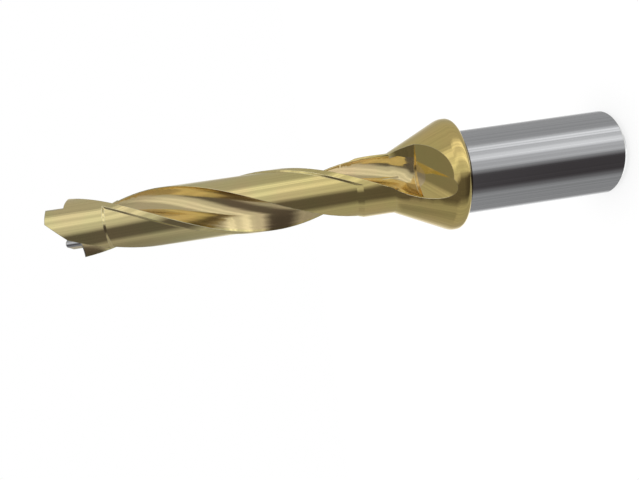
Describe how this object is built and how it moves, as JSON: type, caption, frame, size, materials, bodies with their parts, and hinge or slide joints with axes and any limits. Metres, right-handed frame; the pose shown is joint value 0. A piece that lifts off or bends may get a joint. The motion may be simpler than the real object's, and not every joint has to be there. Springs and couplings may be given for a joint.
{
  "type": "drill body for an exchangeable tip",
  "caption": "Long drill body with a cylindrical shank, a conical flange, helical flutes and a pocket between two jaws that takes an exchangeable tip.",
  "frame": {"origin": "centre of the shank's end face, the lowest point of the part", "axes": "+Z along the drill's axis from the shank's end to the jaws; the run-out of one flute faces -Y"},
  "size_m": [0.0426, 0.0426, 0.2099],
  "materials": {
    "coated_steel": "gold-coloured nitride coating, polished, with a bare ground steel shank"
  },
  "bodies": {
    "root": {"drill_body": "coated_steel"}
  },
  "joints": []
}
